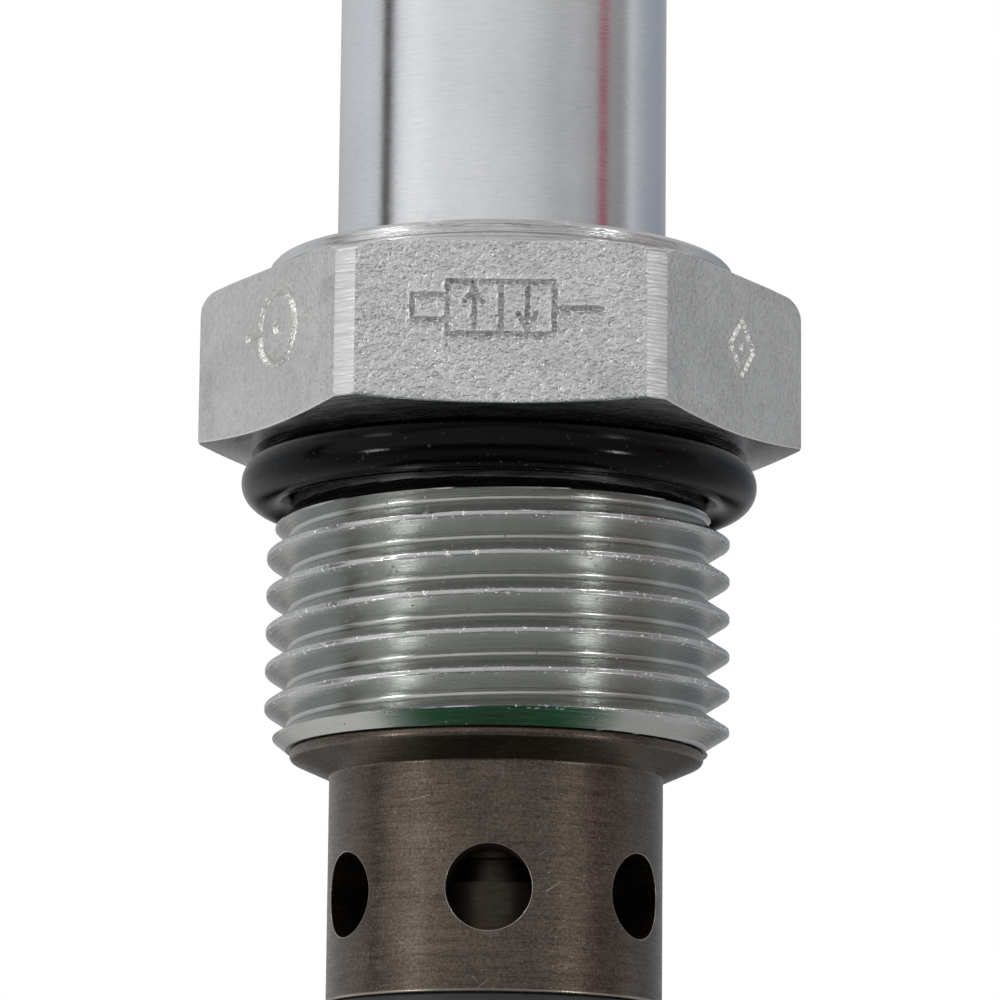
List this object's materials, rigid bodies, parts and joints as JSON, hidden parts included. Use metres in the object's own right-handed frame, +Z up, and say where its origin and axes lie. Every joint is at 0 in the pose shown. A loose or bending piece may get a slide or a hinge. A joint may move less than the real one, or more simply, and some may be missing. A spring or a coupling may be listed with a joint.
{
  "type": "solenoid cartridge valve",
  "caption": "Two-way screw-in solenoid cartridge valve without its coil: plated stem and hexagon, threaded body with O-ring, and a drilled cage around a sliding spool.",
  "frame": {"origin": "on the valve's axis in the plane of the seat, the face under the hexagon that rests on the manifold", "axes": "+Z runs up the stem and away from the manifold; a flat of the hexagon faces -Y"},
  "size_m": [0.029, 0.0254, 0.1015],
  "materials": {
    "plated_steel": "zinc-nickel plated, blasted flats and turned edges",
    "stem_steel": "plated tube, satin with fine turning lines",
    "nonmagnetic_steel": "bright turned ring, plated over",
    "cage_steel": "hardened and tempered, brown-grey satin",
    "spool_steel": "ground and hardened",
    "armature_iron": "plated soft iron",
    "spring_steel": "bright wire",
    "seal_rubber": "semi-gloss black nitrile",
    "backup_ring": "hard black plastic",
    "brass": "thin stamped brass"
  },
  "bodies": {
    "housing": {"hex_body": "plated_steel", "port_seal": "seal_rubber", "tube_seal": "seal_rubber", "tube_backup_ring": "backup_ring", "cage_seal": "seal_rubber", "nose_seal": "seal_rubber", "nose_backup_upper": "backup_ring", "nose_backup_lower": "backup_ring", "stem_tube": "stem_steel", "nonmagnetic_ring": "nonmagnetic_steel", "pole_piece": "stem_steel", "armature_stop_washer": "spool_steel", "return_spring": "spring_steel", "cage": "cage_steel", "spool_stop_ring": "spring_steel"},
    "armature": {"armature": "armature_iron", "anti_stick_shim": "brass", "spring_seat": "spool_steel"},
    "spool": {"spool": "spool_steel", "pull_rod": "spool_steel", "rod_roll_pin": "spring_steel"}
  },
  "joints": [
    {"name": "armature_slide", "type": "slide", "parent": "housing", "child": "armature", "axis": [0, 0, 1], "range_m": [0, 0.00219], "stiffness_N_per_m": 2000, "springref_m": -0.004, "deforming": ["return_spring"]},
    {"name": "spool_slide", "type": "slide", "parent": "housing", "child": "spool", "axis": [0, 0, 1], "range_m": [0, 0.00219]}
  ],
  "couplings": [
    {"joint": "spool_slide", "follows": "armature_slide", "ratio": 1}
  ]
}
